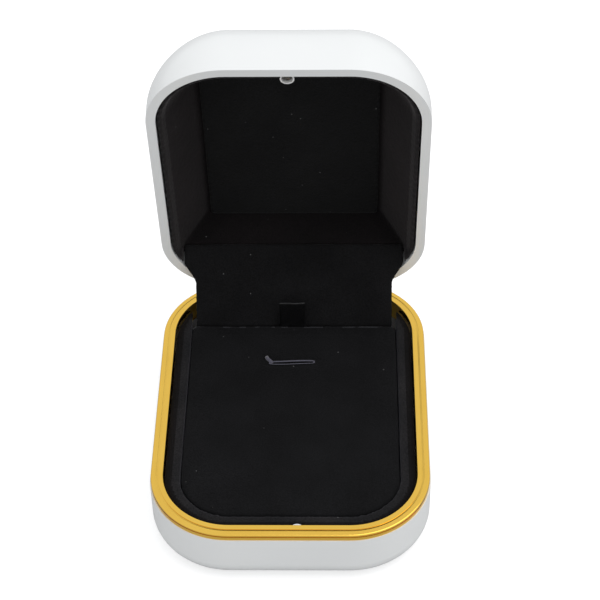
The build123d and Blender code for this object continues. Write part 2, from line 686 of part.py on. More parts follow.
save(base_shell(), "base_shell")
save(trim_ring(), "trim_ring")
save(magnet(), "lamp_magnet")
save(base_tray(), "base_tray")
save(pad_board(), "pad_board")
save(pad_foam(), "pad_foam")
save(pad_velvet(), "pad_velvet")
save(lift_ribbon(), "lift_ribbon")
save(hinge_base_leaf(), "hinge_base_leaf")
save(hinge_lid_leaf(), "hinge_lid_leaf")
save(hinge_pin(), "hinge_pin")
save(snap_spring(), "snap_spring")
save(Compound(screws(PIVOT_Z - BASE_SCREW_DROP)), "hinge_base_screws")
save(Compound([swing_open(s) for s in screws(PIVOT_Z + LID_SCREW_RISE)]), "hinge_lid_screws")
save(hinge_flap(), "hinge_flap")
save(lid_shell(), "lid_shell")
save(lid_lining(), "lid_lining")
save(lid_panel(), "lid_panel")
save(lamp_bezel(), "lamp_bezel")
save(lamp(), "lamp")
save(lamp_holder(), "lamp_holder")
save(lamp_board(), "lamp_board")
save(button_cell(), "button_cell")
save(cell_clip(), "cell_clip")
save(Compound(lamp_leads()), "lamp_leads")
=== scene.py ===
import math

import bmesh
import bpy
from mathutils import Matrix, Vector, noise
from mathutils.bvhtree import BVHTree


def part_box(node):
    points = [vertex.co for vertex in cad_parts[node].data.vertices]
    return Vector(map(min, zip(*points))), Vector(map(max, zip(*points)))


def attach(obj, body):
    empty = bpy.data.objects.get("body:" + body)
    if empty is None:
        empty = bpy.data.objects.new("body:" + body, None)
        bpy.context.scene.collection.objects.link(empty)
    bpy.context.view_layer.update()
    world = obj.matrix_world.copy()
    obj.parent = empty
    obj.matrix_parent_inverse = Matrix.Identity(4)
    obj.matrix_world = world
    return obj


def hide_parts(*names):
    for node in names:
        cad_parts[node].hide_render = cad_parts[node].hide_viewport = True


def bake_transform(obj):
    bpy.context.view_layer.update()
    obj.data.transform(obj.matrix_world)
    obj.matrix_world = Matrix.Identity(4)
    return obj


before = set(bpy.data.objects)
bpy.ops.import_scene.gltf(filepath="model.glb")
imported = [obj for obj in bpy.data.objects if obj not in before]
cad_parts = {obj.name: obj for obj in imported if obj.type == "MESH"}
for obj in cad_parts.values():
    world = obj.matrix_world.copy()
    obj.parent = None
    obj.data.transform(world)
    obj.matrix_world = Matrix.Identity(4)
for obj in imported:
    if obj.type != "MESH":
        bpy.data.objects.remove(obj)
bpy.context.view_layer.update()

mm = 0.001

# --- Table, lights and camera -------------------------------------------------------------
# A pale, lit table in an even pale room, with one broad soft light high on the right. The box
# stands on it with its front towards the camera, which looks down into the tray from in front.
TABLE_SIZE = 6.0
TABLE_COLOUR = (0.50, 0.50, 0.50, 1.0)
TABLE_SHADE = 0.985
TABLE_GLOW = 0.6
ROOM_COLOUR = (0.97, 0.985, 1.0, 1.0)
ROOM_STRENGTH = 1.0
SOFTBOX_SIZE = 0.9
SOFTBOX_PLACE = (0.45, -0.1, 0.95)
SOFTBOX_POWER = 3.9
CAMERA_PLACE = (13.02 * mm, -335.37 * mm, 373.47 * mm)
CAMERA_YAW, CAMERA_PITCH, CAMERA_ROLL = (math.radians(a) for a in (-1.77, 43.70, -1.26))
CAMERA_LENS = 112.9

scene = bpy.context.scene
scene.view_settings.view_transform = "Standard"


def add_node(tree, kind, **settings):
    node = tree.nodes.new(kind)
    for name, value in settings.items():
        setattr(node, name, value)
    return node


def new_finish(name, **sockets):
    """A material with its shader's plain sockets set, and the coordinates its pattern follows."""
    material = bpy.data.materials.new(name)
    material.use_nodes = True
    tree = material.node_tree
    shader = tree.nodes["Principled BSDF"]
    for socket, value in sockets.items():
        shader.inputs[socket.replace("_", " ")].default_value = value
    place = add_node(tree, "ShaderNodeTexCoord")
    return material, tree, shader, place.outputs["Object"]


def new_piece(name, verts, faces):
    mesh = bpy.data.meshes.new(name)
    mesh.from_pydata(verts, [], faces)
    mesh.validate()
    piece = bpy.data.objects.new(name, mesh)
    scene.collection.objects.link(piece)
    for face in mesh.polygons:
        face.use_smooth = True
    return piece


def dimmed(colour, share):
    return tuple(c * share for c in colour[:3]) + (1.0,)


def table_top():
    half = TABLE_SIZE / 2
    corners = [(-half, -half, 0), (half, -half, 0), (half, half, 0), (-half, half, 0)]
    table = new_piece("table", corners, [(0, 1, 2, 3)])
    paint, tree, shader, place = new_finish("table_paint", Roughness=0.6)
    cloud = add_node(tree, "ShaderNodeTexNoise")
    cloud.inputs["Scale"].default_value = 3.0
    tint = add_node(tree, "ShaderNodeMix", data_type="RGBA")
    tint.inputs["A"].default_value = TABLE_COLOUR
    tint.inputs["B"].default_value = dimmed(TABLE_COLOUR, TABLE_SHADE)
    tree.links.new(place, cloud.inputs["Vector"])
    tree.links.new(cloud.outputs["Fac"], tint.inputs["Factor"])
    tree.links.new(tint.outputs["Result"], shader.inputs["Base Color"])
    seen = add_node(tree, "ShaderNodeLightPath")
    shader.inputs["Emission Strength"].default_value = TABLE_GLOW
    tree.links.new(seen.outputs["Is Camera Ray"], shader.inputs["Emission Color"])
    table.data.materials.append(paint)


def studio():
    room = bpy.data.worlds.new("pale_room")
    room.use_nodes = True
    sky = room.node_tree.nodes["Background"]
    sky.inputs["Color"].default_value = ROOM_COLOUR
    sky.inputs["Strength"].default_value = ROOM_STRENGTH
    scene.world = room
    lamp = bpy.data.lights.new("overhead_softbox", "AREA")
    lamp.energy, lamp.size = SOFTBOX_POWER, SOFTBOX_SIZE
    softbox = bpy.data.objects.new("overhead_softbox", lamp)
    softbox.location = SOFTBOX_PLACE
    softbox.rotation_euler = (-Vector(SOFTBOX_PLACE)).to_track_quat("-Z", "Y").to_euler()
    scene.collection.objects.link(softbox)


def camera():
    ahead = Vector((
        math.sin(CAMERA_YAW) * math.cos(CAMERA_PITCH),
        math.cos(CAMERA_YAW) * math.cos(CAMERA_PITCH),
        -math.sin(CAMERA_PITCH),
    ))
    level = Vector((math.cos(CAMERA_YAW), -math.sin(CAMERA_YAW), 0))
    upright = level.cross(ahead)
    right = level * math.cos(CAMERA_ROLL) + upright * math.sin(CAMERA_ROLL)
    up = upright * math.cos(CAMERA_ROLL) - level * math.sin(CAMERA_ROLL)
    lens = bpy.data.cameras.new("camera")
    lens.lens = CAMERA_LENS
    lens.clip_start, lens.clip_end = 0.01, 10.0
    view = bpy.data.objects.new("camera", lens)
    view.matrix_world = Matrix((right, up, -ahead)).transposed().to_4x4()
    view.location = CAMERA_PLACE
    scene.collection.objects.link(view)
    scene.camera = view


table_top()
studio()
camera()


# --- Lacquered shells ---------------------------------------------------------------------
# The base and the lid are moulded shells, sprayed with white lacquer and polished. The
# lacquer has a faint orange-peel skin and is rubbed a little smoother along its edges.
LACQUER = (0.74, 0.745, 0.74, 1.0)
LACQUER_SHADE = (0.70, 0.708, 0.706, 1.0)


def new_group(name, inputs, outputs):
    """An empty node group; its sockets are given as (kind, name, value)."""
    group = bpy.data.node_groups.new(name, "ShaderNodeTree")
    for way, sockets in (("INPUT", inputs), ("OUTPUT", outputs)):
        for kind, label, value in sockets:
            socket = group.interface.new_socket(label, in_out=way, socket_type=f"NodeSocket{kind}")
            if value is not None:
                socket.default_value = value
    start = add_node(group, "NodeGroupInput")
    end = add_node(group, "NodeGroupOutput")
    return group, start, end


def worn_skin_group():
    """Two-tone colour, roughness and height of a hard skin: broad clouds, peel and rubbed edges."""
    group, start, end = new_group(
        "worn_skin",
        [("Vector", "Vector", None), ("Color", "Colour", None), ("Color", "Shade", None),
         ("Float", "Grain", 900.0), ("Float", "Clouds", 60.0), ("Float", "Roughness", 0.3),
         ("Float", "Rubbed Roughness", 0.2)],
        [("Color", "Colour", None), ("Float", "Roughness", None), ("Float", "Height", None)],
    )
    clouds = add_node(group, "ShaderNodeTexNoise")
    grain = add_node(group, "ShaderNodeTexNoise")
    tint = add_node(group, "ShaderNodeMix", data_type="RGBA")
    edges = add_node(group, "ShaderNodeNewGeometry")
    rubbed = add_node(group, "ShaderNodeMapRange")
    rubbed.inputs["From Min"].default_value = 0.52
    rubbed.inputs["From Max"].default_value = 0.60
    gloss = add_node(group, "ShaderNodeMix")
    vary = add_node(group, "ShaderNodeMath", operation="MULTIPLY_ADD")
    vary.inputs[1].default_value = 0.06
    link = group.links.new
    link(start.outputs["Vector"], clouds.inputs["Vector"])
    link(start.outputs["Clouds"], clouds.inputs["Scale"])
    link(start.outputs["Vector"], grain.inputs["Vector"])
    link(start.outputs["Grain"], grain.inputs["Scale"])
    link(clouds.outputs["Fac"], tint.inputs["Factor"])
    link(start.outputs["Colour"], tint.inputs["A"])
    link(start.outputs["Shade"], tint.inputs["B"])
    link(tint.outputs["Result"], end.inputs["Colour"])
    link(edges.outputs["Pointiness"], rubbed.inputs["Value"])
    link(rubbed.outputs["Result"], gloss.inputs["Factor"])
    link(start.outputs["Roughness"], gloss.inputs["A"])
    link(start.outputs["Rubbed Roughness"], gloss.inputs["B"])
    link(clouds.outputs["Fac"], vary.inputs[0])
    link(gloss.outputs["Result"], vary.inputs[2])
    link(vary.outputs["Value"], end.inputs["Roughness"])
    link(grain.outputs["Fac"], end.inputs["Height"])
    return group


worn_skin = worn_skin_group()


def skin_finish(name, colour, shade, rough, rubbed, grain, clouds, depth, stretch=None, **sockets):
    """A hard finish made with the worn skin; a stretch draws its grain out into brushed lines."""
    material, tree, shader, place = new_finish(name, **sockets)
    skin = add_node(tree, "ShaderNodeGroup", node_tree=worn_skin)
    for label, value in (("Colour", colour), ("Shade", shade), ("Grain", grain), ("Clouds", clouds),
                         ("Roughness", rough), ("Rubbed Roughness", rubbed)):
        skin.inputs[label].default_value = value
    bump = add_node(tree, "ShaderNodeBump")
    bump.inputs["Distance"].default_value = depth
    if stretch:
        drawn = add_node(tree, "ShaderNodeMapping")
        drawn.inputs["Scale"].default_value = stretch
        tree.links.new(place, drawn.inputs["Vector"])
        place = drawn.outputs["Vector"]
    tree.links.new(place, skin.inputs["Vector"])
    tree.links.new(skin.outputs["Colour"], shader.inputs["Base Color"])
    tree.links.new(skin.outputs["Roughness"], shader.inputs["Roughness"])
    tree.links.new(skin.outputs["Height"], bump.inputs["Height"])
    tree.links.new(bump.outputs["Normal"], shader.inputs["Normal"])
    return material


def dress(node, material):
    """Gives a hard piece its finish."""
    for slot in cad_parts[node].material_slots:
        slot.material = material


white_lacquer = skin_finish(
    "white_lacquer", LACQUER, LACQUER_SHADE, 0.3, 0.29, 1400.0, 40.0, 0.0015 * mm,
    Coat_Weight=0.25, Coat_Roughness=0.12)
dress("base_shell", white_lacquer)
dress("lid_shell", white_lacquer)


# --- Gilded trim ring ---------------------------------------------------------------------
# A zinc ring whose top falls gently outwards in two tiers, polished and gold plated. It is
# pressed onto the rim of the base shell and its skirt holds the tray.
GOLD = (0.80, 0.515, 0.095, 1.0)
GOLD_SHADE = (0.74, 0.455, 0.072, 1.0)
gold_plating = skin_finish(
    "gold_plating", GOLD, GOLD_SHADE, 0.13, 0.09, 1500.0, 90.0, 0.002 * mm, Metallic=1.0)
dress("trim_ring", gold_plating)

# --- Magnet below the lamp ----------------------------------------------------------------
# A small round magnet, enamelled white, let into the front of the trim. It works the lamp's
# switch in the lid when the box is shut.
white_enamel = skin_finish(
    "white_enamel", (0.82, 0.83, 0.85, 1.0), (0.76, 0.77, 0.80, 1.0), 0.18, 0.14, 2500.0, 400.0,
    0.002 * mm, Coat_Weight=0.5, Coat_Roughness=0.08)
dress("lamp_magnet", white_enamel)


# --- Velvet-covered tray ------------------------------------------------------------------
# The tray is a thin moulded frame flocked with black velvet. Its flat collar has a rounded
# outer edge, and the band beside the ring is painted darker as shade. Its back is cut low for
# the hinge and flap.
COLLAR_PILE = (0.0085, 0.0085, 0.0092, 1.0)
COLLAR_BRUSHED = (0.015, 0.014, 0.0145, 1.0)
# painted shade: the darker velvet of the band beside the ring
SHADED_SLOPE_PILE = (0.0042, 0.0040, 0.0042, 1.0)
SHADED_SLOPE_BRUSHED = (0.0070, 0.0062, 0.0066, 1.0)
SHADED_SLOPE_INSET = 5.1 * mm
RING_CORNER = 20.2 * mm
LINT = (0.10, 0.10, 0.10, 1.0)
WEAVE = 0.5 * mm
RAG_SPACING = 0.7 * mm


def velvet_group():
    """Colour and height of velvet: a fine pile, brushed patches and a few specks of lint."""
    group, start, end = new_group(
        "velvet_pile",
        [("Vector", "Vector", None), ("Color", "Pile", None), ("Color", "Brushed", None),
         ("Color", "Lint", None), ("Float", "Pile Scale", 3200.0), ("Float", "Patch Scale", 70.0),
         ("Float", "Lint Share", 0.1)],
        [("Color", "Colour", None), ("Float", "Height", None)],
    )
    pile = add_node(group, "ShaderNodeTexNoise")
    pile.inputs["Detail"].default_value = 3.0
    patch = add_node(group, "ShaderNodeTexNoise")
    patch.inputs["Detail"].default_value = 4.0
    lie = add_node(group, "ShaderNodeMapRange")
    lie.inputs["From Min"].default_value, lie.inputs["From Max"].default_value = 0.35, 0.68
    tint = add_node(group, "ShaderNodeMix", data_type="RGBA")
    strength = add_node(group, "ShaderNodeMapRange")
    strength.inputs["From Min"].default_value, strength.inputs["From Max"].default_value = 0.3, 0.7
    strength.inputs["To Min"].default_value, strength.inputs["To Max"].default_value = 0.55, 1.5
    shaded = add_node(group, "ShaderNodeVectorMath", operation="SCALE")
    specks = add_node(group, "ShaderNodeTexVoronoi")
    specks.inputs["Scale"].default_value = 420.0
    size = add_node(group, "ShaderNodeMath", operation="LESS_THAN")
    size.inputs[1].default_value = 0.07
    chosen = add_node(group, "ShaderNodeSeparateColor")
    few = add_node(group, "ShaderNodeMath", operation="LESS_THAN")
    both = add_node(group, "ShaderNodeMath", operation="MULTIPLY")
    linted = add_node(group, "ShaderNodeMix", data_type="RGBA")
    link = group.links.new
    for texture in (pile, patch, specks):
        link(start.outputs["Vector"], texture.inputs["Vector"])
    link(start.outputs["Pile Scale"], pile.inputs["Scale"])
    link(start.outputs["Patch Scale"], patch.inputs["Scale"])
    link(patch.outputs["Fac"], lie.inputs["Value"])
    link(lie.outputs["Result"], tint.inputs["Factor"])
    link(start.outputs["Pile"], tint.inputs["A"])
    link(start.outputs["Brushed"], tint.inputs["B"])
    link(pile.outputs["Fac"], strength.inputs["Value"])
    link(tint.outputs["Result"], shaded.inputs[0])
    link(strength.outputs["Result"], shaded.inputs["Scale"])
    link(specks.outputs["Distance"], size.inputs[0])
    link(specks.outputs["Color"], chosen.inputs["Color"])
    link(chosen.outputs["Red"], few.inputs[0])
    link(start.outputs["Lint Share"], few.inputs[1])
    link(size.outputs["Value"], both.inputs[0])
    link(few.outputs["Value"], both.inputs[1])
    link(both.outputs["Value"], linted.inputs["Factor"])
    link(shaded.outputs["Vector"], linted.inputs["A"])
    link(start.outputs["Lint"], linted.inputs["B"])
    link(linted.outputs["Result"], end.inputs["Colour"])
    link(pile.outputs["Fac"], end.inputs["Height"])
    return group


velvet_pile = velvet_group()


def velvet_finish(name, pile, brushed, sheen, sheen_tint, lint_share, pile_depth=0.12 * mm):
    material, tree, shader, place = new_finish(
        name, Roughness=1.0, Specular_IOR_Level=0.08, Sheen_Weight=sheen, Sheen_Roughness=0.45,
        Sheen_Tint=sheen_tint)
    cloth = add_node(tree, "ShaderNodeGroup", node_tree=velvet_pile)
    values = (("Pile", pile), ("Brushed", brushed), ("Lint", LINT), ("Lint Share", lint_share))
    for label, value in values:
        cloth.inputs[label].default_value = value
    bump = add_node(tree, "ShaderNodeBump")
    bump.inputs["Distance"].default_value = pile_depth
    tree.links.new(place, cloth.inputs["Vector"])
    tree.links.new(cloth.outputs["Colour"], shader.inputs["Base Color"])
    tree.links.new(cloth.outputs["Height"], bump.inputs["Height"])
    tree.links.new(bump.outputs["Normal"], shader.inputs["Normal"])
    return material


def applied(piece):
    """Makes the result of a piece's modifiers its mesh."""
    graph = bpy.context.evaluated_depsgraph_get()
    mesh = bpy.data.meshes.new_from_object(piece.evaluated_get(graph))
    piece.modifiers.clear()
    piece.data = mesh
    return mesh


def covered(node, name, body, material, softness, ragged, seed):
    """A moulded or cut board covered with velvet: its form with soft, slightly ragged edges."""
    piece = bpy.data.objects.new(name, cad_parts[node].data.copy())
    scene.collection.objects.link(piece)
    pile = piece.modifiers.new("pile", "REMESH")
    pile.mode, pile.voxel_size, pile.use_smooth_shade = "VOXEL", WEAVE, True
    soft = piece.modifiers.new("soft", "SMOOTH")
    soft.iterations, soft.factor = softness, 0.5
    mesh = applied(piece)
    shift = Vector((seed, 0, 0))
    pulled = [
        v.co + v.normal * ragged * noise.noise(v.co / RAG_SPACING + shift) for v in mesh.vertices
    ]
    for vertex, place in zip(mesh.vertices, pulled):
        vertex.co = place
    mesh.materials.clear()
    mesh.materials.append(material)
    for face in mesh.polygons:
        face.use_smooth = True
        face.material_index = 0
    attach(piece, body)
    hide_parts(node)
    return piece


collar_velvet = velvet_finish(
    "collar_velvet", COLLAR_PILE, COLLAR_BRUSHED, 0.09, (0.9, 0.88, 1.0, 1.0), 0.05)
tray = covered("base_tray", "velvet_tray", "base", collar_velvet, 3, 0.10 * mm, 3.0)


def shade_beside_ring(tray):
    """Gives the band by the ring, over the collar's rounded edge, a flatter pile painted darker as
    shade.
    """
    tray.data.materials.append(velvet_finish(
        "shaded_slope_velvet", SHADED_SLOPE_PILE, SHADED_SLOPE_BRUSHED, 0.05, (1.0, 0.9, 0.9, 1.0), 0.05))
    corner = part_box("trim_ring")[1] - Vector((RING_CORNER, RING_CORNER, 0))
    for face in tray.data.polygons:
        across, along = abs(face.center.x) - corner.x, abs(face.center.y) - corner.y
        if across > 0 and along > 0:
            inset = RING_CORNER - math.hypot(across, along)
        else:
            inset = RING_CORNER - max(across, along)
        # faces near the ring take the darker velvet, painted as shade
        if inset < SHADED_SLOPE_INSET:
            face.material_index = 1


shade_beside_ring(tray)


# --- Pendant pad --------------------------------------------------------------------------
# A block of foam on a stiff board, wrapped in thin black velvet glued underneath. A slit cut
# through velvet and foam holds the chain. Its cut lips and a frayed thread at its left end
# show the paler backing, and the pile is paler in patches along the pad's back edge.
PAD_PILE = (0.0042, 0.0042, 0.0045, 1.0)
PAD_BRUSHED = (0.0062, 0.0062, 0.0067, 1.0)
BACKING = (0.085, 0.082, 0.112, 1.0)
BACKING_SHADE = 0.5
PALE_EDGE_PILE = (0.026, 0.026, 0.029, 1.0)
PALE_EDGE_FROM = 0.02
PAD_FRONT_CORNER = 12.65 * mm
PAD_BACK_CORNER = 0.9 * mm
PAD_EDGE = 0.9 * mm
PAD_TURN_IN = 3.0 * mm
COVER_THICKNESS = 0.45 * mm
SLIT_HALF = 5.75 * mm
SLIT_X, SLIT_Y = -0.35 * mm, 15.3 * mm
SLIT_TURN = math.radians(1.6)
SLIT_OPEN = 0.36 * mm
SLIT_DROPS = (5.0 * mm, 2.5 * mm, 1.2 * mm, 0.5 * mm)
SLIT_WAVE, SLIT_WAVE_SPACING = 0.07 * mm, 1.9 * mm
SLIT_BLUNTNESS = 0.3
LIP = 0.32 * mm
LIP_PROFILE = ((0.05, -0.06 * mm), (0.5, 0.10 * mm), (1.1, 0.06 * mm), (1.8, -0.12 * mm))
LIP_FOOT = 3 * LIP
LIP_DIP, LIP_DIP_ROWS = 0.16 * mm, 1.5
THREAD_PATH = (
    (0.5, -0.1, -0.3), (0.1, 0.3, 0.12), (-0.4, 0.8, 0.2), (-0.8, 1.2, 0.22), (-1.0, 1.8, 0.2),
)
THREAD_RADIUS = 0.045 * mm
THREAD_SIDES = 6
ROUND_COUNT = 260
SWELL_SCALE = 10.0
SWELL_LIMIT = 0.12 * mm
TOP_ROWS, EDGE_ROWS, SIDE_ROWS = 34, 5, 7
ROW_SPREAD = 1.25
HEM_RISE, HEM_INSET, HEM_LIFT = 0.4 * mm, 0.35 * mm, 0.05 * mm
BLOCK_INSET, BLOCK_DROP, BLOCK_COUNT = 0.5 * mm, 0.25 * mm, 120
BLOCK_WEAVE = 1.6 * mm
GLUED_HEIGHT = 2 * mm
PRESSURE, SWELL_FRAMES = 4.0, 20
FADE_IN_ROWS, FADE_OUT_ROWS = 8, 14
WAVE_HEIGHT, WAVE_SPACING = 0.10 * mm, 9 * mm
NAP_HEIGHT, NAP_SPACING = 0.04 * mm, 0.6 * mm
PALE_EDGE_SPACING = 1.6 * mm


def pad_plan(low, high, inset, count):
    """Points round the pad, evenly spaced along its edge, from the middle of its back."""
    path = []
    corners = [
        (low.x, high.y, 1, -1, PAD_BACK_CORNER, 90), (low.x, low.y, 1, 1, PAD_FRONT_CORNER, 180),
        (high.x, low.y, -1, 1, PAD_FRONT_CORNER, 270), (high.x, high.y, -1, -1, PAD_BACK_CORNER, 0),
    ]
    middle = (low.x + high.x) / 2
    path.append(Vector((middle, high.y - inset)))
    for x, y, sign_x, sign_y, radius, start in corners:
        arc = max(radius - inset, 0.15 * mm)
        centre = Vector((x + sign_x * (inset + arc), y + sign_y * (inset + arc)))
        for step in range(25):
            turn = math.radians(start + 90 * step / 24)
            path.append(centre + arc * Vector((math.cos(turn), math.sin(turn))))
    path.append(path[0])
    lengths = [0.0]
    for a, b in zip(path, path[1:]):
        lengths.append(lengths[-1] + (b - a).length)
    points, k = [], 0
    for i in range(count):
        along = lengths[-1] * i / count
        while lengths[k + 1] < along:
            k += 1
        share = (along - lengths[k]) / (lengths[k + 1] - lengths[k])
        points.append(path[k].lerp(path[k + 1], share))
    return points


def slit_plan(outer, half_length, half_width):
    """The slit's outline, its points in step with the pad's outline."""
    centre = Vector((SLIT_X, SLIT_Y))
    points = []
    for p in outer:
        turn = math.atan2((p - centre).y, (p - centre).x)
        taper = math.copysign(abs(math.sin(turn)) ** SLIT_BLUNTNESS, math.sin(turn))
        x, y = half_length * math.cos(turn), half_width * taper
        uneven = SLIT_WAVE * math.sin(x / SLIT_WAVE_SPACING) * abs(taper)
        points.append(centre + Vector((x, y + uneven + x * math.tan(SLIT_TURN))))
    return points


def pad_rings(low, high):
    """Rings of the velvet cover, from inside the slit, over the top and down to under the board."""
    outer = pad_plan(low, high, 0, ROUND_COUNT)
    top = high.z
    rings = []
    for drop in SLIT_DROPS:
        rings.append((slit_plan(outer, SLIT_HALF, SLIT_OPEN), top - drop))
    for grow, rise in LIP_PROFILE:
        half_length = SLIT_HALF + LIP * grow
        rings.append((slit_plan(outer, half_length, SLIT_OPEN + LIP * grow), top + rise))
    lip_rows = len(rings)
    inner = slit_plan(outer, SLIT_HALF + LIP_FOOT, SLIT_OPEN + LIP_FOOT)
    edge = pad_plan(low, high, PAD_EDGE, ROUND_COUNT)
    for row in range(TOP_ROWS + 1):
        share = (row / TOP_ROWS) ** ROW_SPREAD
        dip = LIP_DIP * math.exp(-row / LIP_DIP_ROWS)
        rings.append(([a.lerp(b, share) for a, b in zip(inner, edge)], top - dip))
    for step in range(1, EDGE_ROWS + 1):
        turn = math.radians(90 * step / EDGE_ROWS)
        inset = PAD_EDGE * (1 - math.sin(turn))
        plan = pad_plan(low, high, inset, ROUND_COUNT)
        rings.append((plan, top - PAD_EDGE * (1 - math.cos(turn))))
    floor = low.z + COVER_THICKNESS
    start = top - PAD_EDGE
    for row in range(1, SIDE_ROWS + 1):
        rings.append((outer, start + (floor + HEM_RISE - start) * row / SIDE_ROWS))
    rings.append((pad_plan(low, high, HEM_INSET, ROUND_COUNT), floor + HEM_LIFT))
    rings.append((pad_plan(low, high, PAD_TURN_IN, ROUND_COUNT), floor))
    return rings, lip_rows


def joined_rings(name, rings):
    count = len(rings[0][0])
    verts = [(p.x, p.y, z) for plan, z in rings for p in plan]
    faces = []
    for r in range(len(rings) - 1):
        for i in range(count):
            j = (i + 1) % count
            faces.append((r * count + i, (r + 1) * count + i, (r + 1) * count + j, r * count + j))
    return new_piece(name, verts, faces)


def swollen_pad(low, high):
    """The pad's block, filled out by its foam against the stretched velvet."""
    plan = pad_plan(low, high, BLOCK_INSET, BLOCK_COUNT)
    verts = [(p.x, p.y, z) for z in (low.z, high.z - BLOCK_DROP) for p in plan]
    count = len(plan)
    faces = [(i, (i + 1) % count, count + (i + 1) % count, count + i) for i in range(count)]
    faces += [tuple(range(count))[::-1], tuple(range(count, 2 * count))]
    block = new_piece("pad_block", verts, faces)
    block.data.transform(Matrix.Scale(SWELL_SCALE, 4))
    weave = block.modifiers.new("weave", "REMESH")
    weave.mode, weave.voxel_size = "VOXEL", BLOCK_WEAVE * SWELL_SCALE
    mesh = applied(block)
    glued = block.vertex_groups.new(name="glued")
    limit = (low.z + GLUED_HEIGHT) * SWELL_SCALE
    glued.add([v.index for v in mesh.vertices if v.co.z < limit], 1.0, "REPLACE")
    cloth = block.modifiers.new("velvet", "CLOTH")
    cloth.settings.use_pressure = True
    cloth.settings.uniform_pressure_force = PRESSURE
    cloth.settings.vertex_group_mass = "glued"
    cloth.settings.effector_weights.gravity = 0
    for step in range(1, SWELL_FRAMES + 1):
        scene.frame_set(step)
    graph = bpy.context.evaluated_depsgraph_get()
    filled = bpy.data.meshes.new_from_object(block.evaluated_get(graph))
    scene.frame_set(1)
    filled.transform(Matrix.Scale(1 / SWELL_SCALE, 4))
    bpy.data.objects.remove(block)
    return filled


def settled(cover, first, last):
    """Raises or lowers the cover's top rows to the swollen block, within the swelling's limit."""
    low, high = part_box("pad_velvet")
    filled = swollen_pad(low, high)
    surface = BVHTree.FromPolygons(
        [v.co.copy() for v in filled.vertices], [tuple(f.vertices) for f in filled.polygons])
    count = ROUND_COUNT
    for row in range(first, last):
        share = min(1.0, (row - first) / FADE_IN_ROWS, (last - row) / FADE_OUT_ROWS)
        fade = (1 - math.cos(math.pi * share)) / 2
        for vertex in cover.data.vertices[row * count:(row + 1) * count]:
            hit = surface.find_nearest(vertex.co)[0]
            if hit is None:
                continue
            vertex.co.z += fade * max(-SWELL_LIMIT, min(SWELL_LIMIT, hit.z - vertex.co.z))
    bpy.data.meshes.remove(filled)


def loose_thread(cover, top):
    """Joins a short frayed thread to the cover, curling up from the left end of the slit."""
    start = Vector((SLIT_X - SLIT_HALF, SLIT_Y, top))
    path = [start + mm * Vector(step) for step in THREAD_PATH]
    mesh = bmesh.new()
    mesh.from_mesh(cover.data)
    last = None
    for k, spot in enumerate(path):
        radius = THREAD_RADIUS * (0.6 if k in (0, len(path) - 1) else 1.0)
        ahead = (path[min(k + 1, len(path) - 1)] - path[max(k - 1, 0)]).normalized()
        across = ahead.cross(Vector((0, 0, 1))).normalized()
        up = across.cross(ahead)
        ring = []
        for step in range(THREAD_SIDES):
            turn = 2 * math.pi * step / THREAD_SIDES
            out = across * math.cos(turn) + up * math.sin(turn)
            ring.append(mesh.verts.new(spot + radius * out))
        for i in range(THREAD_SIDES):
            if last:
                j = (i + 1) % THREAD_SIDES
                mesh.faces.new((last[i], last[j], ring[j], ring[i])).smooth = True
        last = ring
    mesh.to_mesh(cover.data)
    mesh.free()


def pad_cover():
    low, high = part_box("pad_velvet")
    rings, lip_rows = pad_rings(low, high)
    cover = joined_rings("velvet_pad", rings)
    settled(cover, lip_rows, lip_rows + TOP_ROWS)
    count = ROUND_COUNT
    for vertex in cover.data.vertices[lip_rows * count:]:
        wave = noise.noise(vertex.co / WAVE_SPACING) * WAVE_HEIGHT
        nap = noise.noise(vertex.co / NAP_SPACING) * NAP_HEIGHT
        vertex.co += vertex.normal * (wave + nap)
    backing, tree, shader, place = new_finish(
        "cut_backing", Roughness=0.9, Sheen_Weight=0.3, Sheen_Roughness=0.5)
    threads = add_node(tree, "ShaderNodeTexNoise")
    threads.inputs["Scale"].default_value = 2600.0
    tint = add_node(tree, "ShaderNodeMix", data_type="RGBA")
    tint.inputs["A"].default_value = dimmed(BACKING, BACKING_SHADE)
    tint.inputs["B"].default_value = BACKING
    tree.links.new(place, threads.inputs["Vector"])
    tree.links.new(threads.outputs["Fac"], tint.inputs["Factor"])
    tree.links.new(tint.outputs["Result"], shader.inputs["Base Color"])
    cover.data.materials.append(velvet_finish(
        "pad_velvet", PAD_PILE, PAD_BRUSHED, 0.05, (0.95, 0.93, 1.0, 1.0), 0.12))
    cover.data.materials.append(backing)
    cover.data.materials.append(velvet_finish(
        "pale_edge_velvet", PALE_EDGE_PILE, PALE_EDGE_PILE, 0.08, (0.95, 0.93, 1.0, 1.0), 0.12))
    loose_thread(cover, high.z)
    for face in cover.data.polygons:
        row = face.index // count
        thread = face.index >= (len(rings) - 1) * count
        face.material_index = 1 if thread or lip_rows - 4 <= row < lip_rows - 2 else 0
        rim_row = lip_rows + TOP_ROWS <= row <= lip_rows + TOP_ROWS + 2
        at_back = face.center.y > high.y - PAD_EDGE
        # paler velvet in patches along the pad's back edge
        if rim_row and at_back and noise.noise(face.center / PALE_EDGE_SPACING) > PALE_EDGE_FROM:
            face.material_index = 2
    thick = cover.modifiers.new("thick", "SOLIDIFY")
    thick.thickness, thick.offset = COVER_THICKNESS, -1.0
    applied(cover)
    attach(cover, "pad")
    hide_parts("pad_velvet")


pad_cover()

foam = skin_finish(
    "foam", (0.035, 0.035, 0.037, 1.0), (0.015, 0.015, 0.016, 1.0), 0.95, 0.95, 1400.0, 700.0, 0.3 * mm)
dress("pad_foam", foam)
grey_board = skin_finish(
    "grey_board", (0.26, 0.25, 0.235, 1.0), (0.19, 0.185, 0.175, 1.0), 0.9, 0.85, 1100.0, 300.0,
    0.05 * mm, stretch=(1.0, 0.25, 1.0))
dress("pad_board", grey_board)


